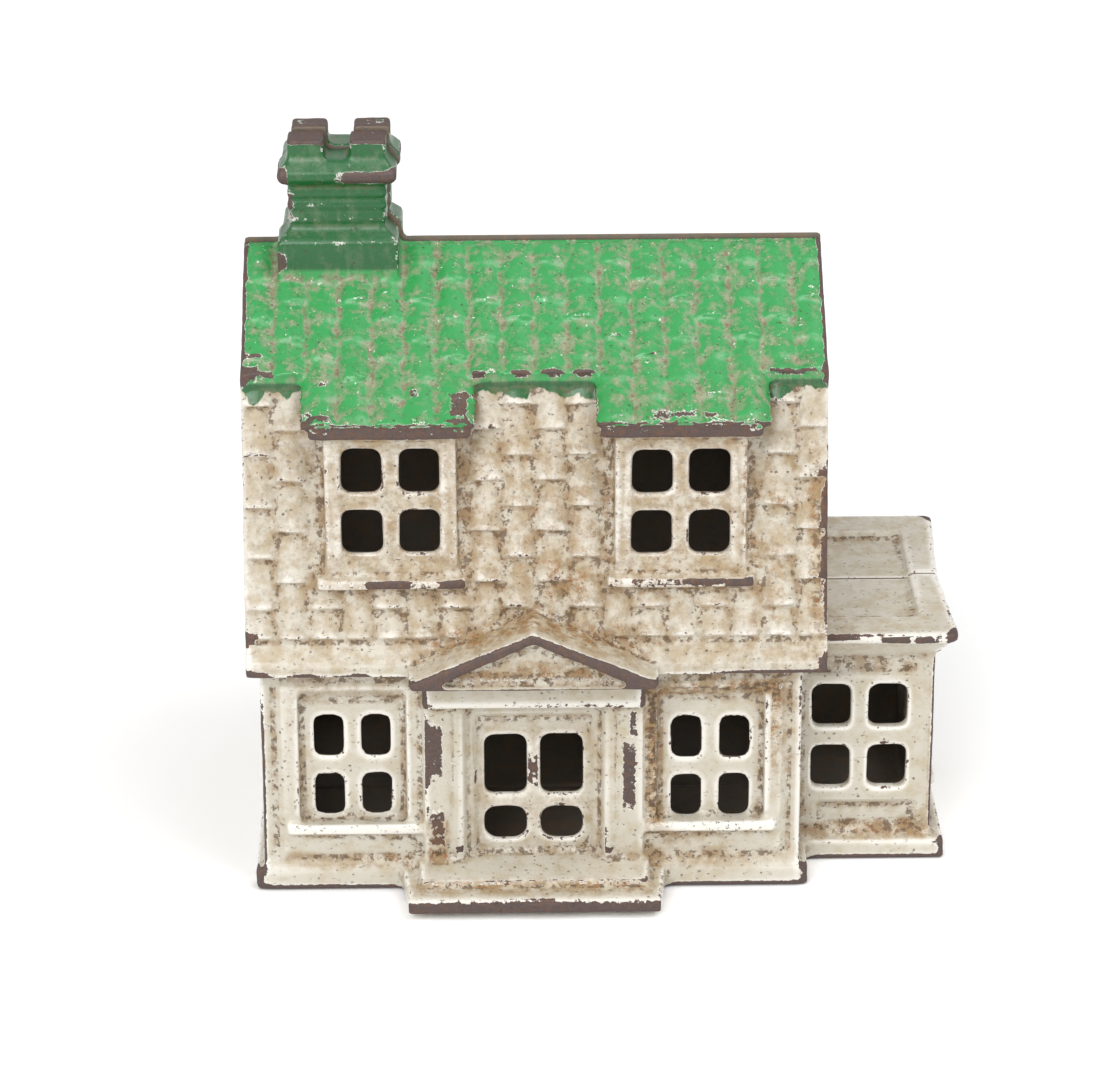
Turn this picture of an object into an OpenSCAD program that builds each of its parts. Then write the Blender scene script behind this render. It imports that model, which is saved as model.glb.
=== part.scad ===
/* Cast iron still bank in the shape of a Dutch colonial house.

   Two hollow half castings meet on the plane under the ridge and are held by one long screw.
   X runs along the ridge, +Y points to the back of the house, +Z is up. The origin is under
   the middle of the whole bank. Each half is drawn with its depth d measured outward from
   the joint plane, so that the front half is the mirror of the same modules. */

/* [Overall] */
// Height from the ground to the top of the chimney
height = 102.7; // [101:0.1:123.2]
// Length of the main roof along the ridge
roof_w = 79.6; // [78.8:0.1:84]
// Depth of the main roof from eave to eave
roof_depth = 58.4; // [57.6:0.1:70.1]
// Thickness of the cast walls
wall = 2.0; // [1.6:0.05:2.4]

/* [Main roof] */
// Height of the front ridge
ridge_z = 86.4; // [85.4:0.1:87.6]
// Height where the upper slope turns into the lower slope
kink_z = 73.7; // [73:0.1:74.4]
// How far the eave stands out beyond that turn
kink_in = 9.0; // [8.4:0.1:9.6]
// Height of the underside of the eave
eave_z = 33.2; // [32.6:0.1:33.6]

/* [House walls] */
// Length of the house between the outer faces of the gable walls
house_w = 74.6; // [73:0.1:76]
// How far the front wall stands behind the eave
eave_overhang = 2.4; // [1.8:0.1:2.8]
// How far the foot of the walls stands out
foot_out = 1.2; // [0.8:0.1:1.6]

/* [Dormers] */
// Width of a dormer's face
dormer_w = 18; // [17:0.1:18.8]
// Distance of a dormer's middle from the middle of the house
dormer_x = 19.6; // [19:0.1:20.2]
// How far a dormer's roof stops short of the eave
dormer_in = 2.2; // [1.6:0.1:2.6]

/* [Porch] */
// How far the porch roof reaches beyond the middle of the house
porch_x = 58.6; // [57.5:0.1:60]
// Height of the porch roof
porch_z = 35.3; // [29.4:0.1:36]
// Depth of the porch roof from the joint plane
porch_d = 21.0; // [20.6:0.1:21.6]

/* [Entry] */
// How far the hood over the door stands out from the wall
hood_out = 7.7; // [6.7:0.1:8.2]
// How far the lower step stands out from the wall
step_out = 10.4; // [9.6:0.1:11.6]

/* [Coin slot] */
// Length of the coin slot
slot_w = 32; // [28:0.5:34]
// Width of the coin slot
slot_h = 3.2; // [2.6:0.1:3.6]

/* [Screw] */
// Diameter of the screw
screw_dia = 4.8; // [4.4:0.1:5.8]
// Height of the screw's axis
screw_z = 48; // [47:0.5:49]

/* [Hidden] */

$fn = 48;
pane_fn = 16;

// Main body
floor_t = wall;
eave_d = roof_depth / 2;
wall_d = eave_d - eave_overhang;
kink_d = eave_d - kink_in;
dormer_d = eave_d - dormer_in;
hood_d = wall_d + hood_out;
step_d = wall_d + step_out;
half_house = house_w / 2;
half_roof = roof_w / 2;
upper_slope = (ridge_z - kink_z) / kink_d;
roof_t = 2.2;
lip_h = 1.3;
lip_in = 0.5;
flare_z = eave_z + 5.3;
flare_d = eave_d - 1.9;
fascia_h = 1.8;
gable_in = 0.9;
// The walls sit a little to the left under the roof, and so does the entry
house_x = -0.7;
entry_x = -0.45;
// The right-hand windows sit a little lower than the left-hand ones
bay_skew = 0.35;
dormer_skew = 0.2;
// The back casting's ridge and chimney stand a little proud of the front ones
back_rise = 0.5;
back_shift = 0.5;
chimney_top = height - back_rise;

function roof_z(d) = ridge_z - upper_slope * d;
function lower_d(z) = kink_d - lip_in
    + (flare_d - kink_d + lip_in) * (kink_z - lip_h - z) / (kink_z - lip_h - flare_z);

// Foot, bay panels and ground floor windows
foot_z = 3.2;
foot_slope_z = 5.3;
bay_x = 24.7;
bay_w = 19.6;
bay_out = 0.5;
bay_top = 31.2;
board_groove_x = 35.6;
groove_w = 0.9;
relief = 0.55;
panel_w = 14.7;
panel_bottom = 9.6;
panel_top = 29.5;
pane_w = 3.7;
pane_h = 5.9;
pane_dx = 3.3;
pane_upper_z = 22.5;
pane_lower_z = 13.5;
sill_z = 8.7;
sill_h = 1.6;
sill_w = 18.2;
sill_out = 1.5;

// Dormers
dormer_face_d = dormer_d - 1.0;
dormer_roof_w = dormer_w + 4;
dormer_roof_t = 2.2;
dormer_pane_w = 5.3;
dormer_pane_h = 6.2;
dormer_pane_dx = 3.9;
dormer_upper_z = 62.0;
dormer_lower_z = 53.1;
dormer_sill_z = 44.9;
dormer_sill_h = 2.3;
dormer_sill_w = 20.2;
dormer_panel_top = 66.2;
dormer_panel_bottom = 48.6;

// Porch
porch_roof_t = 1.6;
porch_cove_h = 2.3;
porch_wall_d = porch_d - 2.7;
porch_wall_x = porch_x - 2.9;
porch_flare = 1.1;
porch_pane_w = 5.3;
porch_pane_h = 6.4;
porch_pane_x = [41.3, 49.2];
porch_upper_z = 23.0;
porch_lower_z = 13.6;
porch_foot_z = 2.9;
porch_foot_out = 1.8;
porch_border = 5.2;
porch_sink = 0.8;

// Chimney
chimney_x = -26.6;
stack_base_w = 16.6;
stack_base_d = 6.8;
stack_base_z = 88.2;
stack_w = 13;
stack_d = 4.9;
stack_z0 = 89.8;
course_out = 0.4;
course_h = 0.9;
cap_w = 16.4;
cap_d = 6.4;
cap_round = 0.8;
cap_z0 = chimney_top - 6.2;
cap_z1 = chimney_top - 3.9;
merlon_z = chimney_top - 2.7;
merlon_w = 5.1;
front_merlon_d = 4.7;
back_merlon_d = 4;
merlon_dx = 4.25;

// Entry
hood_w = 34.4;
hood_ridge_z = 42.6;
hood_tip_z = 35.2;
hood_drop = 0.7;
hood_edge = 1.3;
frieze_z = 28.5;
frieze_w = 30.6;
frieze_out = 3.0;
pilaster_w = 3.6;
pilaster_out = 1.5;
pilaster_x = 13.4;
jamb_w = 2.3;
jamb_out = 0.35;
jamb_x = 10.4;
door_w = 18;
door_top = 26.4;
door_out = 0.3;
door_sink = 0.5;
door_pane_w = 5.7;
door_pane_dx = 3.9;
door_upper_z = 18.4;
door_upper_h = 8.9;
door_lower_z = 9.4;
door_lower_h = 4.9;
lower_step_z = 3.7;
lower_step_w = 36.6;
upper_step_z = 5.0;
upper_step_w = 32.2;
upper_step_d = step_d - 3.9;
step_draft = 0.9;

// Side windows, which are notches in the two edges that meet
side_notch_d = 5.5;
side_notch_h = 5.5;
side_rail = 2.0;
side_sill_out = 1.2;
side_sill_d = 8;
side_sill_h = 1.4;
side_sill_drop = 0.6;
ground_side_z = 15.2;
gable_side_z = 50;

// Screw, its tapped post in the front half and its seat on the back half
thread_gap = 0.05;
hole_r = screw_dia / 2 + thread_gap;
post_r = 4.6;
post_end = 0.4;
tap_depth = 16;
seat_in = 3.8;
seat_d = eave_d - seat_in;
seat_r = 5.6;
boss_depth = 5;
head_r = 4.3;
head_h = 2.6;
head_slot_w = 1.2;
head_slot_h = 1.3;
seat_gap = 0.05;
screw_tip_d = -14;

// The whole bank is moved so that the middle of its box is over the origin
min_x = -half_roof;
max_x = porch_x;
centre_x = (min_x + max_x) / 2;
centre_y = (eave_d - step_d) / 2;

// ---- outlines, as depth and height ----

function roof_outline(rise) = [
    [0, ridge_z + rise], [kink_d, kink_z], [kink_d, kink_z - lip_h],
    [kink_d - lip_in, kink_z - lip_h], [flare_d, flare_z], [eave_d, eave_z + fascia_h],
    [eave_d, eave_z], [0, eave_z]
];
function inner_outline(inset) = [
    [-1, floor_t], [-1, ridge_z - 1.35 * inset], [0, ridge_z - 1.25 * inset],
    [kink_d - 0.75 * inset, kink_z - 1.1 * inset], [wall_d - inset, flare_z - 1],
    [wall_d - inset, floor_t]
];

// An outline of depth and height, drawn along X from x0 to x1
module along_x(points, x0, x1) {
    translate([x0, 0, 0]) rotate([90, 0, 90]) linear_extrude(x1 - x0) polygon(points);
}

// A block between two corners
module block(a, b) {
    translate(a) cube(b - a);
}

// A rounded rectangle in the plane of a wall, cut outward through the depths d0 to d1
module pane(x, z, w, h, d0, d1, r = 0.9) {
    translate([x, d1, z]) rotate([90, 0, 0]) linear_extrude(d1 - d0)
        offset(r = r, $fn = pane_fn) square([w - 2 * r, h - 2 * r], center = true);
}

// ---- the body that the two halves share ----

module roof(rise) {
    along_x(roof_outline(rise), -half_roof, half_roof);
}

// The gable walls stand in from the ends of the roof
module under_rake() {
    for (side = [-1, 1]) {
        x0 = side > 0 ? half_house : -half_roof - 1;
        x1 = side > 0 ? half_roof + 1 : -half_house;
        along_x([
            [-1, eave_z - 1], [-1, ridge_z - roof_t * 1.3], [0, ridge_z - roof_t * 1.3],
            [kink_d - roof_t, kink_z - lip_h - roof_t], [flare_d - roof_t, flare_z],
            [wall_d, eave_z + roof_t], [wall_d, eave_z - 1]
        ], x0, x1);
    }
}

module walls() {
    block([-half_house, 0, 0], [half_house, wall_d, eave_z + 1]);
    foot_x = half_house + foot_out;
    along_x([
        [0, 0], [wall_d + foot_out - 0.5, 0], [wall_d + foot_out, 0.6],
        [wall_d + foot_out, foot_z], [wall_d, foot_slope_z], [0, foot_slope_z]
    ], -half_house, half_house);
    block([-foot_x, 0, 0], [foot_x, wall_d + foot_out - 0.4, foot_z]);
}

// A raised frame round each bay, which ends above the slope of the foot
module bay_frames() {
    for (side = [-1, 1]) {
        bx = side * bay_x;
        block([bx - bay_w / 2, wall_d - 1, foot_slope_z],
              [bx + bay_w / 2, wall_d + bay_out, bay_top]);
    }
}

// Grooves beside the corner boards, and the sunk panels of the bays
module wall_relief() {
    for (side = [-1, 1]) {
        x = side * board_groove_x;
        block([x - groove_w / 2, wall_d - relief, foot_slope_z], [x + groove_w / 2, wall_d + 1, bay_top]);
        bx = side * bay_x;
        along_x([
            [wall_d - 2 * relief, panel_bottom], [wall_d - 2 * relief, panel_top - 1],
            [wall_d + bay_out, panel_top + 1.1], [wall_d + 1, panel_top + 1.1], [wall_d + 1, panel_bottom]
        ], bx - panel_w / 2, bx + panel_w / 2);
    }
}

module bay_sills() {
    for (side = [-1, 1]) {
        bx = side * bay_x;
        block([bx - sill_w / 2, wall_d - 2 * relief, sill_z],
              [bx + sill_w / 2, wall_d + sill_out, sill_z + sill_h]);
    }
}

module bay_panes() {
    for (side = [-1, 1], dx = [-pane_dx, pane_dx], z = [pane_lower_z, pane_upper_z])
        pane(side * bay_x + dx, z - side * bay_skew, pane_w, pane_h, wall_d - wall - 2, wall_d + 2);
}

module dormers() {
    for (side = [-1, 1]) translate([side * dormer_x, 0, 0]) {
        back_d = kink_d - 3;
        along_x([
            [back_d, roof_z(back_d) - 1.5], [dormer_face_d, roof_z(dormer_face_d) - 1],
            [dormer_face_d, dormer_sill_z + 0.3], [lower_d(dormer_sill_z) - 2, dormer_sill_z + 0.3]
        ], -dormer_w / 2, dormer_w / 2);
        along_x([
            [back_d, roof_z(back_d)], [dormer_d, roof_z(dormer_d)],
            [dormer_d, roof_z(dormer_d) - dormer_roof_t],
            [dormer_d - 2.4, roof_z(dormer_d) - dormer_roof_t + 0.3], [back_d, roof_z(back_d) - 3]
        ], -dormer_roof_w / 2, dormer_roof_w / 2);
        along_x([
            [lower_d(dormer_sill_z) - 2, dormer_sill_z], [dormer_face_d + 1.2, dormer_sill_z + 0.4],
            [dormer_face_d + 1.2, dormer_sill_z + dormer_sill_h - 0.4],
            [dormer_face_d - 0.5, dormer_sill_z + dormer_sill_h],
            [lower_d(dormer_sill_z) - 2, dormer_sill_z + dormer_sill_h]
        ], -dormer_sill_w / 2, dormer_sill_w / 2);
    }
}

module dormer_relief() {
    for (side = [-1, 1]) translate([side * dormer_x, 0, 0])
        block([-dormer_w / 2 + 2.3, dormer_face_d - relief, dormer_panel_bottom],
              [dormer_w / 2 - 2.3, dormer_face_d + 1, dormer_panel_top]);
}

module dormer_panes() {
    for (side = [-1, 1], dx = [-dormer_pane_dx, dormer_pane_dx], z = [dormer_lower_z, dormer_upper_z])
        pane(side * dormer_x + dx, z - side * dormer_skew, dormer_pane_w, dormer_pane_h,
             dormer_face_d - 7, dormer_face_d + 2, 1.1);
}

// Where the room inside reaches out into a dormer
module dormer_hollow() {
    for (side = [-1, 1]) translate([side * dormer_x, 0, 0])
        along_x([
            [10, dormer_sill_z + 4], [10, roof_z(14) - 4.2],
            [dormer_face_d - wall, roof_z(dormer_face_d) - 3.2],
            [dormer_face_d - wall, dormer_sill_z + 3.2],
            [lower_d(dormer_sill_z) - 4, dormer_sill_z + 3.2]
        ], -dormer_w / 2 + wall, dormer_w / 2 - wall);
}

module porch() {
    x0 = half_house - wall;
    block([x0, 0, 0], [porch_wall_x, porch_wall_d, porch_z - porch_roof_t]);
    block([x0, 0, 0], [porch_wall_x + porch_foot_out, porch_wall_d + porch_foot_out, porch_foot_z]);
    along_x([
        [0, porch_foot_z - 0.1], [porch_wall_d + porch_foot_out, porch_foot_z - 0.1],
        [porch_wall_d, porch_foot_z + 0.7], [0, porch_foot_z + 0.7]
    ], x0, porch_wall_x);
    // Cove under the roof, then the roof slab, which is a little narrower at the joint plane
    hull() {
        block([x0, 0, porch_z - porch_roof_t - porch_cove_h],
              [porch_wall_x + 0.5, porch_wall_d + 0.5, porch_z - porch_roof_t - porch_cove_h + 0.8]);
        block([x0, 0, porch_z - porch_roof_t - 0.5],
              [porch_wall_x + 1.7, porch_wall_d + 1.9, porch_z - porch_roof_t]);
    }
    translate([0, 0, porch_z - porch_roof_t]) linear_extrude(porch_roof_t)
        polygon([[x0, 0], [porch_x - porch_flare, 0], [porch_x, porch_d - 0.8],
                 [porch_x - 0.8, porch_d], [x0, porch_d]]);
    // Sill along the side, through the joint plane
    block([x0, 0, sill_z - 0.6], [porch_wall_x + side_sill_out, porch_wall_d - 5, sill_z + 0.8]);
}

module porch_relief() {
    block([half_house, -1, porch_z - porch_sink],
          [porch_x - porch_border, porch_d - porch_border - 1.4, porch_z + 1]);
    block([half_house + 2.0, porch_wall_d - relief, porch_foot_z + 0.9],
          [porch_wall_x - 2.2, porch_wall_d + 1, sill_z - 0.5]);
    block([half_house, porch_wall_d - relief, porch_upper_z + 4.9],
          [porch_wall_x - 2.4, porch_wall_d + 1, porch_upper_z + 7.7]);
}

module porch_panes() {
    for (x = porch_pane_x, z = [porch_lower_z, porch_upper_z])
        pane(x, z, porch_pane_w, porch_pane_h, porch_wall_d - wall - 1, porch_wall_d + 2, 1.1);
}

module chimney(rise, shift, merlon_d) {
    translate([chimney_x + shift, 0, rise]) {
        block([-stack_base_w / 2, 0, ridge_z - 12], [stack_base_w / 2, stack_base_d, stack_base_z]);
        hull() {
            block([-stack_base_w / 2, 0, stack_base_z - 0.1],
                  [stack_base_w / 2, stack_base_d, stack_base_z]);
            block([-stack_w / 2, 0, stack_base_z], [stack_w / 2, stack_d, stack_z0]);
        }
        block([-stack_w / 2, 0, stack_z0 - 0.1], [stack_w / 2, stack_d, cap_z0 + 0.1]);
        for (row = [0 : 2]) {
            z = stack_z0 + (2 * row + 1) * course_h;
            block([-stack_w / 2 - course_out, 0, z],
                  [stack_w / 2 + course_out, stack_d + course_out, z + course_h]);
        }
        // Cap with a rounded edge, sloping up to the merlons
        hull() {
            block([cap_round - cap_w / 2, 0, cap_z0],
                  [cap_w / 2 - cap_round, cap_d - cap_round, cap_z1]);
            block([-cap_w / 2, 0, cap_z0 + cap_round], [cap_w / 2, cap_d, cap_z1 - cap_round / 2]);
            block([-stack_w / 2 - 0.3, 0, cap_z1], [stack_w / 2 + 0.3, stack_d, merlon_z]);
        }
        for (side = [-1, 1])
            block([side * merlon_dx - merlon_w / 2, 0, merlon_z - 0.1],
                  [side * merlon_dx + merlon_w / 2, merlon_d, chimney_top]);
    }
}

// ---- inside and side openings ----

module hollow() {
    difference() {
        along_x(inner_outline(wall), house_x - half_house + wall, house_x + half_house - wall);
        // Iron left at the ridge under the chimney
        block([chimney_x - 10, -2, ridge_z - 8], [chimney_x + 10, 9, ridge_z]);
    }
    block([half_house - 2 * wall, -1, floor_t],
          [porch_wall_x - wall, porch_wall_d - wall, porch_z - porch_roof_t - wall - 0.2]);
    dormer_hollow();
}

// Two stacked notches with a rail between them, from the joint plane outward
module side_notches(x0, x1, z) {
    for (row = [0, 1])
        block([x0, -1, z + row * (side_notch_h + side_rail)],
              [x1, side_notch_d, z + side_notch_h + row * (side_notch_h + side_rail)]);
}

module side_sill(x0, x1, z) {
    block([x0, 0, z - side_sill_h], [x1, side_sill_d, z]);
}

module side_sills() {
    for (z = [ground_side_z, gable_side_z])
        side_sill(-half_house - side_sill_out, -half_house + 1, z - side_sill_drop);
    side_sill(half_house - 1, half_house + side_sill_out, gable_side_z - side_sill_drop);
}

module side_windows() {
    translate([house_x, 0, 0]) {
        for (z = [ground_side_z, gable_side_z])
            side_notches(-half_house - 3, -half_house + wall + 1, z);
        side_notches(half_house - wall - 1, half_house + 3, gable_side_z);
    }
    side_notches(porch_wall_x - wall - 1, porch_wall_x + 3, porch_lower_z - 3);
}

// The gable walls and the front wall, with their bays
module house() {
    difference() {
        union() {
            walls();
            bay_frames();
        }
        wall_relief();
    }
    along_x([
        [0, eave_z], [0, ridge_z - roof_t], [kink_d - gable_in, kink_z - roof_t],
        [wall_d - gable_in, flare_z - roof_t], [wall_d - gable_in, eave_z]
    ], -half_house, half_house);
    bay_sills();
    side_sills();
}

module shared_body(rise, shift, merlon_d) {
    difference() {
        roof(rise);
        translate([house_x, 0, 0]) under_rake();
    }
    translate([house_x, 0, 0]) house();
    difference() {
        dormers();
        dormer_relief();
    }
    difference() {
        porch();
        porch_relief();
    }
    chimney(rise, shift, merlon_d);
}

module openings() {
    hollow();
    translate([house_x, 0, 0]) bay_panes();
    dormer_panes();
    porch_panes();
    side_windows();
}

// ---- the entry, on the front half only ----

module hood() {
    difference() {
        hull() {
            translate([0, lower_d(40) - 4, 0]) hood_gable(0, 0.5);
            translate([0, hood_d - 0.5, 0]) hood_gable(hood_drop, 0.5);
        }
        translate([0, hood_d - 1.6, 0]) hood_tympanum();
    }
}

module hood_gable(drop, t) {
    translate([0, t, 0]) rotate([90, 0, 0]) linear_extrude(t)
        polygon([
            [0, hood_ridge_z - drop], [hood_w / 2, hood_tip_z - drop],
            [hood_w / 2 - 0.6, hood_tip_z - drop - 1.1], [-hood_w / 2 + 0.6, hood_tip_z - drop - 1.1],
            [-hood_w / 2, hood_tip_z - drop]
        ]);
}

module hood_tympanum() {
    foot = hood_tip_z - hood_drop - 1.1 + 0.5;
    peak = hood_ridge_z - hood_drop - 1.25 * hood_edge;
    translate([0, 3, 0]) rotate([90, 0, 0]) linear_extrude(3)
        polygon([[0, peak], [hood_w / 2 - 3.6, foot], [-hood_w / 2 + 3.6, foot]]);
}

module entry() {
    hood();
    block([-frieze_w / 2, wall_d - 1, frieze_z], [frieze_w / 2, wall_d + frieze_out, hood_tip_z - 1]);
    for (side = [-1, 1]) {
        block([side * pilaster_x - pilaster_w / 2, wall_d - 1, 3],
              [side * pilaster_x + pilaster_w / 2, wall_d + pilaster_out, frieze_z + 0.1]);
        translate([side * jamb_x, wall_d + jamb_out, 3]) cylinder(d = jamb_w, h = frieze_z - 3);
    }
    block([-door_w / 2, wall_d - 1, 3], [door_w / 2, wall_d + door_out, frieze_z]);
}

module steps() {
    hull() {
        block([-lower_step_w / 2, wall_d, 0], [lower_step_w / 2, wall_d + 1, lower_step_z]);
        block([-lower_step_w / 2 + 0.9, step_d - 1.2, step_draft],
              [lower_step_w / 2 - 0.9, step_d, lower_step_z - 0.6]);
    }
    hull() {
        block([-upper_step_w / 2, wall_d, 2], [upper_step_w / 2, wall_d + 1, upper_step_z]);
        block([-upper_step_w / 2 + 0.5, upper_step_d - 1, 2],
              [upper_step_w / 2 - 0.5, upper_step_d, upper_step_z - 0.9]);
    }
}

module door_relief() {
    block([-door_w / 2 + 0.9, wall_d - door_sink, upper_step_z], [door_w / 2 - 0.9, wall_d + 1, door_top]);
}

module door_panes() {
    for (side = [-1, 1]) {
        pane(side * door_pane_dx, door_upper_z, door_pane_w, door_upper_h, wall_d - 4, wall_d + 2, 1.1);
        pane(side * door_pane_dx, door_lower_z, door_pane_w, door_lower_h, wall_d - 4, wall_d + 2, 1.8);
    }
}

// ---- sub-parts ----

// A cylinder along the screw's axis, between two depths
module on_axis(d0, d1, r) {
    translate([0, d1, screw_z]) rotate([90, 0, 0]) cylinder(r = r, h = d1 - d0);
}

module place() {
    translate([-centre_x, -centre_y, 0]) children();
}

module front_casting() {
    color("seagreen") place() mirror([0, 1, 0]) {
        difference() {
            union() {
                difference() {
                    union() {
                        shared_body(0, 0, front_merlon_d);
                        translate([entry_x, 0, 0]) {
                            entry();
                            steps();
                        }
                    }
                    translate([entry_x, 0, 0]) {
                        door_relief();
                        door_panes();
                    }
                    openings();
                }
                // Post for the screw, rooted in the slope behind the tiles
                on_axis(post_end, lower_d(screw_z + post_r) - 0.4, post_r);
            }
            on_axis(-1, tap_depth, hole_r);
        }
    }
}

module back_casting() {
    color("ivory") place() {
        difference() {
            union() {
                difference() {
                    shared_body(back_rise, back_shift, back_merlon_d);
                    openings();
                    coin_slot();
                }
                on_axis(seat_d - boss_depth, seat_d, seat_r);
            }
            on_axis(seat_d, seat_d + 6, seat_r);
            on_axis(0, seat_d + 1, hole_r);
        }
    }
}

// The slot lies across the middle of the upper slope
module coin_slot() {
    slot_d = kink_d / 2;
    translate([0, slot_d, roof_z(slot_d)]) rotate([-atan(upper_slope), 0, 0])
        cube([slot_w, slot_h, 4 * roof_t], center = true);
}

module assembly_screw() {
    color("dimgray") place() difference() {
        union() {
            on_axis(screw_tip_d, seat_d + 1, screw_dia / 2);
            translate([0, seat_d + seat_gap, screw_z]) rotate([-90, 0, 0])
                rotate_extrude() intersection() {
                    translate([0, head_h - head_r * 1.25]) circle(r = head_r * 1.25);
                    square([head_r, head_h]);
                }
        }
        translate([0, seat_d + head_h, screw_z])
            cube([head_slot_w, 2 * head_slot_h, 3 * head_r], center = true);
    }
}

front_casting();
back_casting();
assembly_screw();
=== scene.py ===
"""Cast iron house bank: the tiled roofs, the soft cast edges and the worn paint of its two
castings, the threaded screw that holds them, and the table they are shown on."""

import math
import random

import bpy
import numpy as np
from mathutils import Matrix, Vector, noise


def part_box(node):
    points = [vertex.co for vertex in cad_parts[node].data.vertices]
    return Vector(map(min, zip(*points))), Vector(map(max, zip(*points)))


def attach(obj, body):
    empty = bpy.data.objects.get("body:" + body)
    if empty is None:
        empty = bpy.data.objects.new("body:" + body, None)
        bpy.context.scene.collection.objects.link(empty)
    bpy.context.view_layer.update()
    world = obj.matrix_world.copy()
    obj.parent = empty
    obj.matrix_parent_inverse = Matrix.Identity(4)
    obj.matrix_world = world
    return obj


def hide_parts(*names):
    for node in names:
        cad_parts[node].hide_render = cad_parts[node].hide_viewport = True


bl_info = {
    "name": "Cast Iron House Bank",
    "version": (1, 0, 0),
    "blender": (4, 5, 0),
    "location": "View3D > Sidebar > House Bank",
    "description": "Finishes the two castings and the screw of a house-shaped still bank",
    "category": "Object",
}

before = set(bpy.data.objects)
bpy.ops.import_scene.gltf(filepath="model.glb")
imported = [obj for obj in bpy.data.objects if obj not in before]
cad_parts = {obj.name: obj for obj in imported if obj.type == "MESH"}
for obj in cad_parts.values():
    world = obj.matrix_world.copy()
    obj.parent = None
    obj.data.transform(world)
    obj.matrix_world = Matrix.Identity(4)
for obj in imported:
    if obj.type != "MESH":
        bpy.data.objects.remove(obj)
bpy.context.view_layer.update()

MM = 0.001

# The screw's axis is over the middle of the house, and the front casting ends at the joint plane
SCREW_LOW, SCREW_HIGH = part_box("assembly_screw")
HOUSE_X = (SCREW_LOW[0] + SCREW_HIGH[0]) / 2
SCREW_Z = (SCREW_LOW[2] + SCREW_HIGH[2]) / 2
JOINT_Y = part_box("front_casting")[1][1]


def tint(red, green, blue):
    """A screen colour, 0 to 255, as the linear colour that Blender's shaders use."""
    shares = [c / 255 for c in (red, green, blue)]
    return tuple(s / 12.92 if s <= 0.04045 else ((s + 0.055) / 1.055) ** 2.4 for s in shares)


def length_property(name, description, default_mm, low_mm=0.0, high_mm=200.0):
    return bpy.props.FloatProperty(
        name=name, description=description, default=default_mm * MM,
        min=low_mm * MM, max=high_mm * MM, precision=5, unit="LENGTH",
    )


def colour_property(name, description, screen_colour):
    return bpy.props.FloatVectorProperty(
        name=name, description=description, default=tint(*screen_colour),
        size=3, min=0.0, max=1.0, subtype="COLOR",
    )


def amount_property(name, description, default, high=1.0):
    return bpy.props.FloatProperty(
        name=name, description=description, default=default, min=0.0, max=high, subtype="FACTOR",
    )


class HouseBankShape(bpy.types.PropertyGroup):
    """Sizes of the roof, its tiles and the softness of the casting"""

    ridge_z: length_property("Ridge height", "Height of the front casting's ridge", 86.4)
    kink_z: length_property("Kink height", "Height where the roof turns steep", 73.7)
    kink_d: length_property("Kink depth", "Distance of that turn from the joint plane", 20.2)
    lower_top_z: length_property("Lower slope top", "Height where the steep slope starts", 72.4)
    lower_top_d: length_property("Lower slope start", "Its distance from the joint plane", 19.7)
    lower_end_z: length_property("Lower slope foot", "Height where the steep slope ends", 38.5)
    lower_end_d: length_property("Lower slope reach", "Its distance from the joint plane", 27.3)
    dormer_d: length_property("Dormer roof reach", "Its edge's distance from the joint plane", 27.0)
    dormer_x: length_property("Dormer offset", "Distance of a dormer from the middle", 19.6)
    dormer_half: length_property("Dormer half width", "Half the width of a dormer's roof", 11.1)
    sill_z: length_property("Dormer sill height", "Height of the underside of a dormer", 44.9)
    roof_half: length_property("Roof half length", "Half the length of the roof", 39.8)
    tile_columns: bpy.props.IntProperty(
        name="Tile columns", description="Columns of tiles on each half of the roof",
        default=9, min=4, max=16,
    )
    tile_length: length_property("Tile length", "Length of tile that shows", 7.0)
    upper_tile_length: length_property("Upper tile length", "The same on the upper slope", 6.6)
    tile_rise: length_property("Tile crown", "How far a tile is crowned across its width", 0.62)
    tile_lift: length_property("Tile lift", "How far the sides of a tile's foot stand out", 0.36)
    tile_drop: length_property("Tile drop", "How much lower the head of a tile lies", 0.8)
    upper_tile_drop: length_property("Upper tile drop", "The same on the upper slope", 0.36)
    slot_half_x: length_property("Slot half length", "Half the length of the coin slot", 17.6)
    slot_d: length_property("Slot depth", "Distance of the coin slot from the joint plane", 10.1)
    slot_border: length_property("Slot border", "Half the plain strip round the slot", 2.9)
    grain: length_property("Casting grain", "Finest detail that the casting keeps", 0.34)
    softness: bpy.props.IntProperty(
        name="Edge softness", description="Rounds of smoothing on the cast edges",
        default=4, min=0, max=20,
    )
    waviness: length_property("Waviness", "How far the cast surface dips at most", 0.16)
    triangles: bpy.props.IntProperty(
        name="Triangles", description="Triangles that a finished casting may have",
        default=190000, min=20000, max=199000,
    )
    thread_pitch: length_property("Thread pitch", "Pitch of the screw's thread", 0.9)
    thread_length: length_property("Thread length", "Length of the thread from the tip", 26.0)


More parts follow.
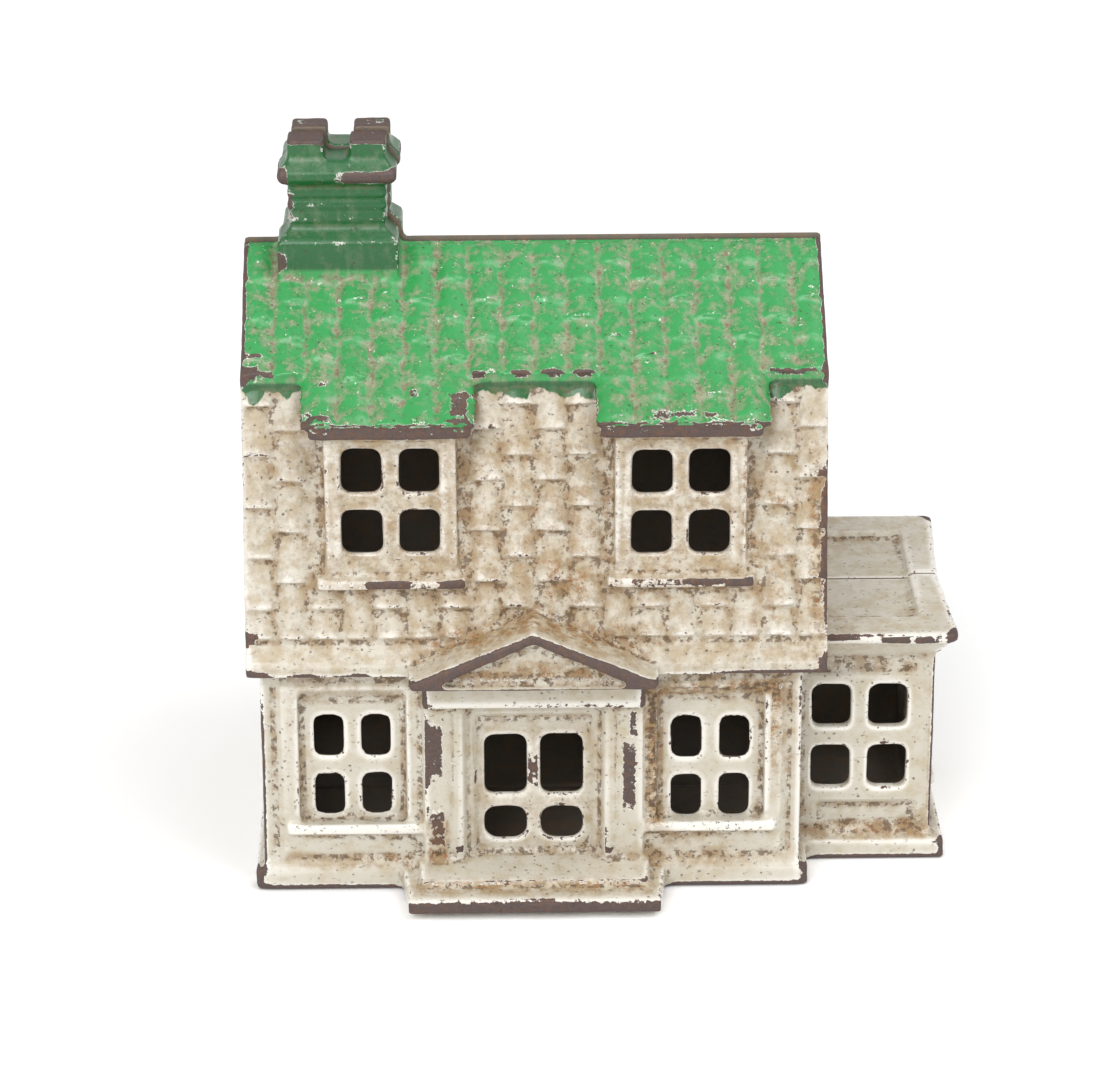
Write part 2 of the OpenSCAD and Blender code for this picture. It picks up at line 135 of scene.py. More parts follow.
class HouseBankPaint(bpy.types.PropertyGroup):
    """Colours of the paint, the iron and the dirt"""

    cream: colour_property("Cream paint", "Paint of the walls and steep slopes", (192, 186, 172))
    cream_dark: colour_property("Aged cream", "The same paint gone yellow", (174, 160, 128))
    green: colour_property("Green paint", "Paint of the upper slopes and chimney", (44, 146, 74))
    # Also laid on the steep and upright green faces as painted shade
    green_aged_and_shaded: colour_property("Aged green", "The same paint where it is thick", (4, 82, 32))
    rubbed: colour_property("Rubbed green", "Green worn thin in the valleys", (146, 146, 120))
    primer: colour_property("Primer", "White undercoat at the rim of a chip", (232, 230, 222))
    iron: colour_property("Bare iron", "Iron where the paint has gone", (88, 74, 70))
    rust: colour_property("Rust", "Rust in the worn places", (150, 98, 46))
    dirt: colour_property("Dirt", "Dirt that gathers in the corners", (122, 88, 44))
    wear: amount_property("Edge wear", "How far the raised edges are worn bare", 0.62)
    grime: amount_property("Grime", "How much dirt lies in the hollows", 0.5)


class HouseBankStage(bpy.types.PropertyGroup):
    """Camera, light and table"""

    focal: bpy.props.FloatProperty(
        name="Focal length", description="Focal length of the camera in millimetres",
        default=145.2, min=20.0, max=400.0, subtype="DISTANCE_CAMERA",
    )
    distance: length_property("Distance", "From the camera to the aim point", 625.2, 100.0, 5000.0)
    elevation: bpy.props.FloatProperty(
        name="Elevation", description="Angle of the camera above the table",
        default=math.radians(22.98), subtype="ANGLE",
    )
    azimuth: bpy.props.FloatProperty(
        name="Azimuth", description="Angle of the camera round the bank",
        default=math.radians(-0.66), subtype="ANGLE",
    )
    roll: bpy.props.FloatProperty(
        name="Roll", description="Tilt of the camera",
        default=math.radians(-0.235), subtype="ANGLE",
    )
    aim_z: length_property("Aim height", "Height of the aim point on the joint plane", 50.0)
    shift_x: bpy.props.FloatProperty(
        name="Shift across", description="Sideways shift of the view", default=0.015,
        min=-0.5, max=0.5,
    )
    shift_y: bpy.props.FloatProperty(
        name="Shift upwards", description="Upward shift of the view", default=-0.058,
        min=-0.5, max=0.5,
    )
    sky: amount_property("Room light", "Strength of the even light all round", 0.7, 5.0)
    key: amount_property("Key light", "Power of the lamp at the upper left, in watts", 10.0, 50.0)
    fill: amount_property("Fill light", "Power of the lamp at the right, in watts", 7.5, 50.0)
    table: colour_property("Table", "Colour of the plain table", (250, 250, 250))


# ---- modelling helpers ----

def take(obj):
    """Selects one object alone and makes it active."""
    if bpy.context.object and bpy.context.object.mode != "OBJECT":
        bpy.ops.object.mode_set(mode="OBJECT")
    bpy.ops.object.select_all(action="DESELECT")
    obj.select_set(True)
    bpy.context.view_layer.objects.active = obj


def join(target, others):
    """Joins the other meshes into the target."""
    take(target)
    for other in others:
        other.select_set(True)
    bpy.ops.object.join()
    return target


def apply_modifier(obj, kind, **settings):
    take(obj)
    modifier = obj.modifiers.new(kind.title(), kind)
    for key, value in settings.items():
        setattr(modifier, key, value)
    bpy.ops.object.modifier_apply(modifier=modifier.name)


def bake_place(obj):
    """Puts an object's place into its mesh."""
    take(obj)
    bpy.ops.object.transform_apply(location=True, rotation=True, scale=True)


def copy_node(node, name):
    """A merged copy of a CAD node's mesh, as a new piece without materials."""
    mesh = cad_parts[node].data.copy()
    mesh.materials.clear()
    mesh.name = name
    piece = bpy.data.objects.new(name, mesh)
    bpy.context.scene.collection.objects.link(piece)
    take(piece)
    bpy.ops.object.mode_set(mode="EDIT")
    bpy.ops.mesh.select_all(action="SELECT")
    bpy.ops.mesh.remove_doubles(threshold=1e-6)
    bpy.ops.object.mode_set(mode="OBJECT")
    return piece


def select_where(obj, kind, test):
    """In edit mode, selects the vertices or faces whose place and normal pass the test."""
    bpy.ops.mesh.select_all(action="DESELECT")
    bpy.ops.mesh.select_mode(type=kind)
    bpy.ops.object.mode_set(mode="OBJECT")
    mesh = obj.data
    if kind == "FACE":
        for face in mesh.polygons:
            face.select = test(face.center, face.normal)
    else:
        for vertex in mesh.vertices:
            vertex.select = test(vertex.co, vertex.normal)
    bpy.ops.object.mode_set(mode="EDIT")


# ---- the tiles ----

TILE_ROOT = 0.9 * MM
TILE_SIDES = 40


def make_tile(width, rise, lift, drop):
    """One barrel tile of unit length along Y, its thick foot at -Y and its crown along +Z."""
    radius = (width * width / 4 + rise * rise) / (2 * rise)
    bpy.ops.object.select_all(action="DESELECT")
    bpy.ops.mesh.primitive_cylinder_add(
        vertices=TILE_SIDES * 4, radius=radius, depth=1.0, rotation=(math.pi / 2, 0, 0),
    )
    tile = bpy.context.object
    tile.name = "roof_tile"
    bake_place(tile)
    bpy.ops.object.mode_set(mode="EDIT")
    bpy.ops.mesh.select_all(action="SELECT")
    floor = radius - rise - TILE_ROOT
    bpy.ops.mesh.bisect(
        plane_co=(0, 0, floor), plane_no=(0, 0, 1), use_fill=True, clear_inner=True,
    )
    bpy.ops.mesh.select_all(action="SELECT")
    bpy.ops.transform.translate(value=(0, 0, lift + rise - radius))
    # The head of each tile lies lower than its foot, so that the rows step over each other
    select_where(tile, "VERT", lambda place, _: place.y > 0.4)
    bpy.ops.transform.translate(value=(0, 0, -drop))
    bpy.ops.object.mode_set(mode="OBJECT")
    return tile


class Slope:
    """A straight stretch of roof, from its top to its foot, as distance and height."""

    def __init__(self, top_d, top_z, end_d, end_z, facing):
        self.top = Vector((0, facing * top_d, top_z))
        end = Vector((0, facing * end_d, end_z))
        self.length = (end - self.top).length
        self.down = (end - self.top).normalized()
        self.out = Vector((0, -self.down.z * facing, abs(self.down.y)))

    def tile_place(self, x, start, stop, chance):
        """The matrix that lays a unit tile between two distances down the slope. No two tiles
        of the pattern were carved quite alike."""
        middle = self.top + self.down * (start + stop) / 2
        along = -self.down
        across = along.cross(self.out)
        turn = Matrix((across, along, self.out)).transposed().to_4x4()
        place = Matrix.Translation(Vector((HOUSE_X + x, JOINT_Y, 0)) + middle)
        swing = Matrix.Rotation(math.radians(chance.uniform(-2.0, 2.0)), 4, "Z")
        size = (chance.uniform(0.94, 1.01), stop - start, chance.uniform(0.8, 1.15), 1)
        return place @ turn @ swing @ Matrix.Diagonal(size)

    def distance_at(self, z):
        return (self.top.z - z) / -self.down.z


def cut_out(span, gap):
    """What is left of a span once a gap is taken from it."""
    start, stop = span
    if gap is None or stop <= gap[0] or start >= gap[1]:
        return [span]
    return [s for s in ((start, gap[0]), (gap[1], stop)) if s[1] - s[0] > 0.6 * MM]


def rows(first, pitch, start, stop):
    """Spans of tile between a start and a stop, with the first foot at a given distance."""
    feet = [first + pitch * i for i in range(-1, 12)]
    marks = [start] + [f for f in feet if start + 0.8 * MM < f < stop - 0.8 * MM] + [stop]
    return list(zip(marks[:-1], marks[1:]))


# Where the first foot of a column of tiles lies down each slope, for even and odd columns,
# where the tiles start, and the half height kept clear for the screw's seat
UPPER_FEET = (4.7 * MM, 7.8 * MM)
LOWER_FEET = (6.0 * MM, 9.6 * MM)
UPPER_START = 1.3 * MM
LOWER_START = 0.4 * MM
SEAT_SPACE = 6.4 * MM


def lay_tiles(shape, facing):
    """All the tiles of one half of the roof, joined. facing is -1 in front and 1 behind."""
    pitch_x = shape.roof_half / shape.tile_columns
    upper_tile = make_tile(pitch_x, shape.tile_rise, shape.tile_lift, shape.upper_tile_drop)
    lower_tile = make_tile(pitch_x, shape.tile_rise, shape.tile_lift, shape.tile_drop)
    upper = Slope(0, shape.ridge_z, shape.kink_d, shape.kink_z, facing)
    lower = Slope(
        shape.lower_top_d, shape.lower_top_z, shape.lower_end_d, shape.lower_end_z, facing,
    )
    dormer_stop = upper.length * shape.dormer_d / shape.kink_d
    chance = random.Random(5 if facing < 0 else 8)
    slot_middle = upper.length * shape.slot_d / shape.kink_d
    slot_gap = (slot_middle - shape.slot_border, slot_middle + shape.slot_border)
    boss_gap = (lower.distance_at(SCREW_Z + SEAT_SPACE), lower.distance_at(SCREW_Z - SEAT_SPACE))
    places = []
    for column in range(-shape.tile_columns, shape.tile_columns):
        x = (column + 0.5) * pitch_x
        odd = column % 2
        over_dormer = abs(abs(x) - shape.dormer_x) < shape.dormer_half
        stop = dormer_stop + 0.25 * MM if over_dormer else upper.length - 0.1 * MM
        for span in rows(UPPER_FEET[odd], shape.upper_tile_length, UPPER_START, stop):
            gap = slot_gap if facing > 0 and abs(x) < shape.slot_half_x else None
            parts = cut_out(span, gap)
            places += [(upper_tile, upper.tile_place(x, *part, chance)) for part in parts]
        start = lower.distance_at(shape.sill_z + 0.2 * MM) if over_dormer else LOWER_START
        for span in rows(LOWER_FEET[odd], shape.tile_length, start, lower.length):
            gap = boss_gap if facing > 0 and abs(x) < 2 * pitch_x else None
            parts = cut_out(span, gap)
            places += [(lower_tile, lower.tile_place(x, *part, chance)) for part in parts]
    # The tiles end flush with the ends of the roof
    end = shape.roof_half - 0.1 * MM
    tiles = []
    for tile, place in places:
        copy = tile.copy()
        copy.data = tile.data.copy()
        copy.data.transform(place)
        for vertex in copy.data.vertices:
            vertex.co.x = min(max(vertex.co.x, HOUSE_X - end), HOUSE_X + end)
        bpy.context.scene.collection.objects.link(copy)
        tiles.append(copy)
    bpy.data.objects.remove(upper_tile)
    bpy.data.objects.remove(lower_tile)
    return tiles


# ---- the casting ----

def cast(obj, grain, softness):
    """Runs overlapping solids together into one skin with soft cast edges."""
    apply_modifier(obj, "REMESH", mode="VOXEL", voxel_size=grain)
    apply_modifier(obj, "SMOOTH", factor=0.5, iterations=softness)


def mesh_places(mesh):
    places = np.empty(len(mesh.vertices) * 3)
    mesh.vertices.foreach_get("co", places)
    return places.reshape(-1, 3)


def mesh_normals(mesh):
    normals = np.empty(len(mesh.vertices) * 3)
    mesh.vertices.foreach_get("normal", normals)
    return normals.reshape(-1, 3)


def spread(values, edges, count, rounds):
    """Averages each vertex's values with its neighbours', a number of times."""
    weight = np.bincount(edges.ravel(), minlength=count)[:, None]
    for _ in range(rounds):
        total = np.empty_like(values)
        for axis in range(values.shape[1]):
            total[:, axis] = (
                np.bincount(edges[:, 0], values[edges[:, 1], axis], count)
                + np.bincount(edges[:, 1], values[edges[:, 0], axis], count)
            )
        values = 0.3 * values + 0.7 * total / weight
    return values


def make_wavy(obj, depth):
    """Lets the surface dip and swell a little, but keeps the joint face and the base flat."""
    places, normals = mesh_places(obj.data), mesh_normals(obj.data)
    swell = np.array([
        0.65 * noise.noise(Vector(p) * 160) + 0.35 * noise.noise(Vector(p) * 620) for p in places
    ])
    off_joint = np.clip((np.abs(places[:, 1] - JOINT_Y) - 0.3 * MM) / (1.2 * MM), 0, 1)
    off_base = np.clip((places[:, 2] - 0.3 * MM) / MM, 0, 1)
    dip = (np.clip(swell, -0.5, 0.5) - 0.5) * depth * off_joint * off_base
    obj.data.vertices.foreach_set("co", (places + normals * dip[:, None]).ravel())
    obj.data.update()


def write_attribute(mesh, name, values):
    attribute = mesh.attributes.new(name, "FLOAT", "POINT")
    attribute.data.foreach_set("value", values.astype(np.float32))


# The grain at which a spot is compared with 14 rounds of neighbours, and the height that
# counts as standing out in full
USUAL_GRAIN = 0.34 * MM
FULL_RELIEF = 0.22 * MM


def measure_relief(obj, grain):
    """Stores how far each spot stands out, from -1 in a hollow to 1 on an edge."""
    mesh = obj.data
    edges = np.empty(len(mesh.edges) * 2, dtype=np.int64)
    mesh.edges.foreach_get("vertices", edges)
    edges = edges.reshape(-1, 2)
    places, normals = mesh_places(mesh), mesh_normals(mesh)
    rounds = int(round(14 * (USUAL_GRAIN / grain) ** 2)) + 4
    far = spread(places, edges, len(places), rounds)
    relief = ((places - far) * normals).sum(axis=1) / FULL_RELIEF
    write_attribute(mesh, "relief", np.clip(relief, -1, 1))


def local_places(obj, facing):
    """Each vertex by its distance from the middle of the house and from the joint plane."""
    local = mesh_places(obj.data) - np.array((HOUSE_X, JOINT_Y, 0))
    local[:, 1] *= facing
    return local


# Limits of the rooms inside, in millimetres from the middle of the house, the joint plane and
# the ground, each about half a wall outside the room's own faces
ROOM_X, ROOM_D, ROOM_TOP = 35.9, 25.4, 36
DORMER_ROOM_X, DORMER_ROOM_D, DORMER_ROOM_FLOOR = 7.9, 24.7, 46.5
PORCH_ROOM_X, PORCH_ROOM_D, PORCH_ROOM_TOP = (35, 54.4), 17.0, 33.4
JOINT_FACE = 0.14


def mark_inside(obj, shape, facing):
    """Stores 1 on the faces that were never painted: the inside and the joint face."""
    x, depth, height = (local_places(obj, facing) / MM).T
    kink_d, kink_z = shape.kink_d / MM, shape.kink_z / MM
    ridge_z = shape.ridge_z / MM
    upper = ridge_z - depth * (ridge_z - kink_z) / kink_d
    steep = (shape.lower_top_z - shape.lower_end_z) / (shape.lower_end_d - shape.lower_top_d)
    lower = shape.lower_top_z / MM - (depth - shape.lower_top_d / MM) * steep
    under_roof = (height < upper - 1.5) & (height < np.maximum(lower - 4.6, ROOM_TOP))
    house = (np.abs(x) < ROOM_X) & (depth < ROOM_D) & under_roof
    dormer = (np.abs(np.abs(x) - shape.dormer_x / MM) < DORMER_ROOM_X) & (depth < DORMER_ROOM_D)
    dormer &= (height > DORMER_ROOM_FLOOR) & (height < upper - 1.5)
    porch = (x > PORCH_ROOM_X[0]) & (x < PORCH_ROOM_X[1])
    porch &= (depth < PORCH_ROOM_D) & (height < PORCH_ROOM_TOP)
    inside = (house | dormer | porch) & (height > 1.0)
    write_attribute(obj.data, "inside", (inside | (depth < JOINT_FACE)).astype(float))


def box_share(places, zone):
    """1 inside a zone and 0 well outside it. A zone is x, depth and height and three half sizes."""
    middle, half = np.array(zone[:3]) * MM, np.array(zone[3:6]) * MM
    off = np.abs(places - middle) / half
    inside = np.clip(1.6 - off, 0, 1)
    return inside.min(axis=1)


def mark_zones(obj, name, zones, facing):
    """Stores the strength of the strongest zone at each vertex."""
    local = local_places(obj, facing)
    marks = np.zeros(len(local))
    for zone in zones:
        marks = np.maximum(marks, box_share(local, zone) * zone[6])
    write_attribute(obj.data, name, marks)


def thin_out(obj, triangles, keep):
    """Merges the flat stretches until the piece has about this many triangles, but leaves the
    places where the named attribute is marked as fine as they are."""
    count = sum(len(face.vertices) - 2 for face in obj.data.polygons)
    if count <= triangles:
        return
    settings = {"decimate_type": "COLLAPSE", "ratio": triangles / count}
    if keep:
        marks = np.empty(len(obj.data.vertices), dtype=np.float32)
        obj.data.attributes[keep].data.foreach_get("value", marks)
        free = obj.vertex_groups.new(name="free")
        free.add(np.flatnonzero(marks < 0.02).tolist(), 1.0, "REPLACE")
        settings["vertex_group"] = free.name
    apply_modifier(obj, "DECIMATE", **settings)
    obj.vertex_groups.clear()


def smooth_faces(obj):
    take(obj)
    bpy.ops.object.shade_smooth()


# ---- shader building ----

class Number:
    """A number on its way through a material. Python's operators add Math nodes."""

    def __init__(self, shader, socket):
        self.shader, self.socket = shader, socket

    def math(self, operation, *values):
        node = self.shader.add("ShaderNodeMath", {"operation": operation}, dict(enumerate(values)))
        return Number(self.shader, node.outputs[0])

    def __add__(self, other):
        return self.math("ADD", self, other)

    def __radd__(self, other):
        return self.math("ADD", other, self)

    def __sub__(self, other):
        return self.math("SUBTRACT", self, other)

    def __rsub__(self, other):
        return self.math("SUBTRACT", other, self)

    def __mul__(self, other):
        return self.math("MULTIPLY", self, other)

    def __rmul__(self, other):
        return self.math("MULTIPLY", other, self)

    def __neg__(self):
        return self.math("MULTIPLY", self, -1.0)

    def band(self, low, high):
        """0 below low, 1 above high and a soft step between."""
        node = self.shader.add(
            "ShaderNodeMapRange", {"interpolation_type": "SMOOTHSTEP"},
            {"Value": self, "From Min": low, "From Max": high},
        )
        return Number(self.shader, node.outputs["Result"])

    def clamp(self):
        node = self.shader.add("ShaderNodeClamp", {}, {"Value": self})
        return Number(self.shader, node.outputs[0])

    def size(self):
        return self.math("ABSOLUTE", self)

    def most(self, other):
        return self.math("MAXIMUM", self, other)


class Shader:
    """One material's node tree."""

    def __init__(self, name):
        self.material = bpy.data.materials.new(name)
        self.material.use_nodes = True
        self.tree = self.material.node_tree
        self.tree.nodes.clear()

    def add(self, kind, settings, values):
        """A node of a type, with its settings and then the values or links of its sockets."""
        node = self.tree.nodes.new(kind)
        for key, value in settings.items():
            setattr(node, key, value)
        for key, value in values.items():
            if isinstance(value, Number):
                value = value.socket
            if isinstance(value, bpy.types.NodeSocket):
                self.tree.links.new(value, node.inputs[key])
            else:
                node.inputs[key].default_value = value
        return node

    def colour(self, share, under, over):
        """Lays one colour over another by a share from 0 to 1."""
        if not isinstance(under, bpy.types.NodeSocket):
            under = (*under, 1.0)
        if not isinstance(over, bpy.types.NodeSocket):
            over = (*over, 1.0)
        node = self.add("ShaderNodeMix", {"data_type": "RGBA"}, {0: share, 6: under, 7: over})
        return node.outputs[2]

    def places(self):
        """Position in millimetres, measured from the middle of the house and the joint plane."""
        coordinates = self.add("ShaderNodeTexCoord", {}, {})
        node = self.add(
            "ShaderNodeMapping", {"vector_type": "TEXTURE"},
            {"Vector": coordinates.outputs["Object"], "Location": (HOUSE_X, JOINT_Y, 0.0),
             "Scale": (MM, MM, MM)},
        )
        return node.outputs[0]

    def split(self, vector):
        node = self.add("ShaderNodeSeparateXYZ", {}, {0: vector})
        return [Number(self, output) for output in node.outputs]

    def squeezed(self, vector, scale, offset=(0.0, 0.0, 0.0)):
        node = self.add(
            "ShaderNodeMapping", {}, {"Vector": vector, "Scale": scale, "Location": offset},
        )
        return node.outputs[0]

    def noise(self, vector, scale, detail=3.0, roughness=0.55):
        node = self.add(
            "ShaderNodeTexNoise", {},
            {"Vector": vector, "Scale": scale, "Detail": detail, "Roughness": roughness},
        )
        return Number(self, node.outputs["Fac"])

    def cells(self, vector, scale):
        node = self.add("ShaderNodeTexVoronoi", {}, {"Vector": vector, "Scale": scale})
        return Number(self, node.outputs["Distance"])

    def attribute(self, name):
        node = self.add("ShaderNodeAttribute", {"attribute_name": name}, {})
        return Number(self, node.outputs["Fac"])

    def finish(self, **sockets):
        values = {key.replace("_", " "): value for key, value in sockets.items()}
        surface = self.add("ShaderNodeBsdfPrincipled", {}, values)
        self.add("ShaderNodeOutputMaterial", {}, {"Surface": surface.outputs[0]})
        return self.material


# Colours of small marks in the paint, then of the iron inside and of the screw's steel
# A painted highlight for the raised cream edges, partly also standing for paint worn to the white
# undercoat
EDGE_HIGHLIGHT_AND_UNDERCOAT = tint(236, 233, 226)
EARTH = tint(116, 92, 72)
FLECK = tint(198, 190, 140)
TAN = tint(166, 138, 88)
CRUST = tint(86, 62, 36)
BLOOM = tint(140, 92, 40)
STAIN = tint(78, 54, 28)
PIT = tint(66, 50, 40)
SCUFF = tint(86, 68, 54)
DARK_IRON = tint(58, 46, 44)
RAW_GREY = tint(104, 95, 84)
RAW_BROWN = tint(124, 100, 76)
DARK_STEEL = tint(74, 64, 58)
BRIGHT_STEEL = tint(158, 148, 138)


def painted_iron(name, shape, paint):
    """Old enamel on cast iron: green above the kink line, cream below, chipped on what stands
    out, dirty in the hollows and worn bare in the marked places."""
    s = Shader(name)
    place = s.places()
    _, depth, height = s.split(place)
    relief = s.attribute("relief")
    chip = s.attribute("chip")
    grime = s.attribute("grime")
    inside = s.attribute("inside")
    edge = relief.band(0.12, 0.9)
    hollow = (-relief).band(0.05, 0.75)

    broad = s.noise(place, 0.09, 2.0)
    blotch = s.noise(place, 0.45, 4.0, 0.6)
    patch = s.noise(place, 1.1, 5.0, 0.65)
    grit = s.noise(place, 3.2, 3.0, 0.7)
    spots = s.noise(place, 0.75, 4.0, 0.7)
    streak = s.noise(s.squeezed(place, (1.0, 1.0, 0.22)), 0.8, 4.0, 0.6)

    # Green paint covers the upper slope, the dormer roofs, the chimney and the edge at the kink
    fall = (shape.ridge_z - shape.kink_z) / shape.kink_d
    above = height - (shape.ridge_z / MM - fall * depth.size())
    ragged = s.noise(s.squeezed(place, (1.0, 1.0, 0.15), (3.0, 0.0, 0.0)), 0.28, 3.0, 0.6)
    at_dormer = depth.size().band(23.0, 25.0)
    border = above + 2.6 - at_dormer * 1.7 + (ragged - 0.5) * (4.2 - at_dormer * 3.0)
    green_side = border.band(-0.12, 0.12)

    cream = s.colour(blotch.band(0.42, 0.7) * 0.6, paint.cream, paint.cream_dark)
    # Painted highlight: the raised cream edges are lightened towards near white, partly also paint
    # worn to the white undercoat
    cream = s.colour(edge * 0.75, cream, EDGE_HIGHLIGHT_AND_UNDERCOAT)
    # Painted shade: the chimney's faces and the steep band under the kink are darkened towards the
    # aged green, as if less lit
    steep_shade = above.band(1.7, 2.4).most((-above).band(0.5, 1.0))
    green = s.colour(blotch.band(0.4, 0.7) * 0.35, paint.green, paint.green_aged_and_shaded)
    green = s.colour(steep_shade * 0.95, green, paint.green_aged_and_shaded)
    rub = hollow * 0.55 + 0.12 + (streak - 0.5) * 3.0 + (blotch - 0.5) * 2.8 + (patch - 0.5) * 1.6
    rub = (rub - edge * 0.3).clamp() * (1.0 - steep_shade * 0.75)
    green = s.colour(rub * 0.85, green, paint.rubbed)
    earth = (rub * 0.6 + hollow * 0.4).band(0.5, 0.95) * spots.band(0.48, 0.62)
    green = s.colour(earth * 0.6, green, EARTH)
    flecks = grit.band(0.6, 0.66) * blotch.band(0.5, 0.58)
    green = s.colour(flecks * 0.7 * (1.0 - steep_shade), green, FLECK)
    tan = (grime * (0.55 + (blotch - 0.4) * 2.6) + (broad - 0.5) * 0.5).clamp() * 0.7
    cream = s.colour(tan, cream, TAN)
    coat = s.colour(green_side, cream, green)

    # Dirt in the hollows, with more in the grimy places, and small dark specks all over
    dirty = hollow * (0.25 + paint.grime) + grime * 0.9 + (broad - 0.5) * 0.4
    dirty = (dirty * blotch.band(0.38, 0.6)).clamp() * (1.0 - green_side * 0.7)
    coat = s.colour(dirty * 0.6, coat, paint.dirt)
    crust = (hollow.band(0.25, 0.8) + grime * 0.6).clamp() * patch.band(0.5, 0.57)
    coat = s.colour(crust * (0.8 - green_side * 0.4), coat, CRUST)
    bloom = grime.band(0.3, 0.8) * spots.band(0.53, 0.6) * grit.band(0.38, 0.52)
    coat = s.colour(bloom * 0.85, coat, BLOOM)
    stain = grime.band(0.85, 1.2) * patch.band(0.44, 0.54)
    coat = s.colour(stain * 0.85, coat, STAIN)
    pits = s.cells(place, 0.9).band(0.26, 0.12) * grit.band(0.46, 0.58) * broad.band(0.3, 0.48)
    coat = s.colour(pits * 0.85, coat, PIT)
    scuffs = s.noise(s.squeezed(place, (0.5, 1.0, 1.6)), 1.9, 4.0, 0.7).band(0.645, 0.68)
    coat = s.colour(scuffs * 0.8, coat, SCUFF)
    flakes = s.noise(s.squeezed(place, (1.0, 1.0, 1.0), (7.0, 2.0, 5.0)), 1.1, 5.0, 0.72)
    flakes = (flakes + (spots - 0.5) * 0.3).band(0.66, 0.69) * (1.0 - steep_shade * 0.8)
    coat = s.colour(flakes * 0.7, coat, paint.primer)

    # Chips: bare iron where the wear is deepest, inside a thin rim of white undercoat
    worn = edge * paint.wear * (0.4 + broad) + chip * 0.95
    worn = worn + (patch - 0.5) * 1.15 + (grit - 0.5) * 0.35
    bare = worn.band(0.66, 0.7)
    rim = worn.band(0.585, 0.62) * blotch.band(0.4, 0.55)
    coat = s.colour(rim * 0.75, coat, paint.primer)
    rusty = (grime * 0.22 + (patch - 0.5) * 1.6).clamp()
    metal = s.colour(rusty * 0.75, paint.iron, paint.rust)
    metal = s.colour(grit.band(0.45, 0.7) * 0.45, metal, DARK_IRON)
    surface = s.colour(bare, coat, metal)
    unpainted = inside.band(0.35, 0.65)
    raw_iron = s.colour(blotch.band(0.45, 0.6) * 0.5, RAW_GREY, RAW_BROWN)
    surface = s.colour(unpainted, surface, raw_iron)
    raw = bare.most(unpainted)

    rough = 0.34 + dirty * 0.3 + raw * 0.24 + (patch - 0.5) * 0.2
    bump = s.add("ShaderNodeBump", {}, {
        "Strength": 0.5, "Distance": 0.0002,
        "Height": grit * 0.45 + patch * 0.7 - bare * 0.8 - pits * 0.5 - scuffs * 0.4,
    })
    return s.finish(
        Base_Color=surface, Roughness=rough.clamp(), Metallic=bare * 0.3,
        Coat_Weight=(1.0 - raw) * 0.3, Coat_Roughness=0.22, Normal=bump.outputs[0],
    )


def old_steel(name, paint):
    """Dark screw steel with a little rust in the slot and thread."""
    s = Shader(name)
    place = s.places()
    relief = s.attribute("relief")
    patch = s.noise(place, 1.3, 4.0, 0.6)
    grit = s.noise(place, 5.0, 3.0, 0.6)
    bright = (relief.band(0.15, 0.8) + (patch - 0.5) * 0.8).clamp()
    colour = s.colour(bright * 0.7, DARK_STEEL, BRIGHT_STEEL)
    rusty = ((-relief).band(0.1, 0.7) * 0.7 + patch.band(0.52, 0.7) * 0.7).clamp()
    colour = s.colour(rusty * 0.7, colour, paint.rust)
    bump = s.add("ShaderNodeBump", {}, {
        "Strength": 0.3, "Distance": 0.0001, "Height": grit + patch,
    })
    return s.finish(
        Base_Color=colour, Roughness=(0.35 + rusty * 0.4).clamp(),
        Metallic=(1.0 - rusty * 0.8).clamp(), Normal=bump.outputs[0],
    )


# Places worn bare or grimy, each as x, depth and height of its middle, three half sizes and
# how strongly it is worn, in millimetres from the middle of the house and the joint plane
BOTH_CHIPS = (
    # Dormer roof edges and sills, eaves, foot and the outer corners
    (-19.6, 27.4, 68.5, 11.5, 0.6, 0.9, 1.0), (19.6, 27.4, 68.5, 11.5, 0.6, 0.9, 1.0),
    (-27.8, 28.2, 0.3, 10.5, 2, 0.45, 0.85), (27.0, 28.2, 0.3, 9.5, 2, 0.45, 0.85),
    (-39.6, 10, 80.0, 0.5, 9, 6.5, 0.6), (39.6, 10, 80.0, 0.5, 9, 6.5, 0.55),
    (-38.4, 20.5, 74.5, 1.2, 2, 1.6, 0.85), (39.4, 20.5, 74.0, 0.6, 2, 1.6, 0.7),
    (-38.1, 27.0, 15.0, 0.4, 0.8, 10.0, 0.66), (37.3, 27.6, 3.0, 0.6, 1, 3.0, 0.7),
    (-39.0, 28.0, 1.6, 0.8, 2, 1.8, 0.85), (55.8, 18.4, 16.0, 0.35, 0.6, 12.0, 0.66),
    (57.4, 19.9, 1.4, 0.7, 1.2, 1.6, 0.8), (47.5, 20.3, 0.2, 9, 0.8, 0.45, 0.85),
    (58.3, 20.4, 34.6, 1.0, 1.2, 0.9, 0.95), (-38.6, 29.3, 33.6, 1.8, 0.6, 0.7, 0.95),
)
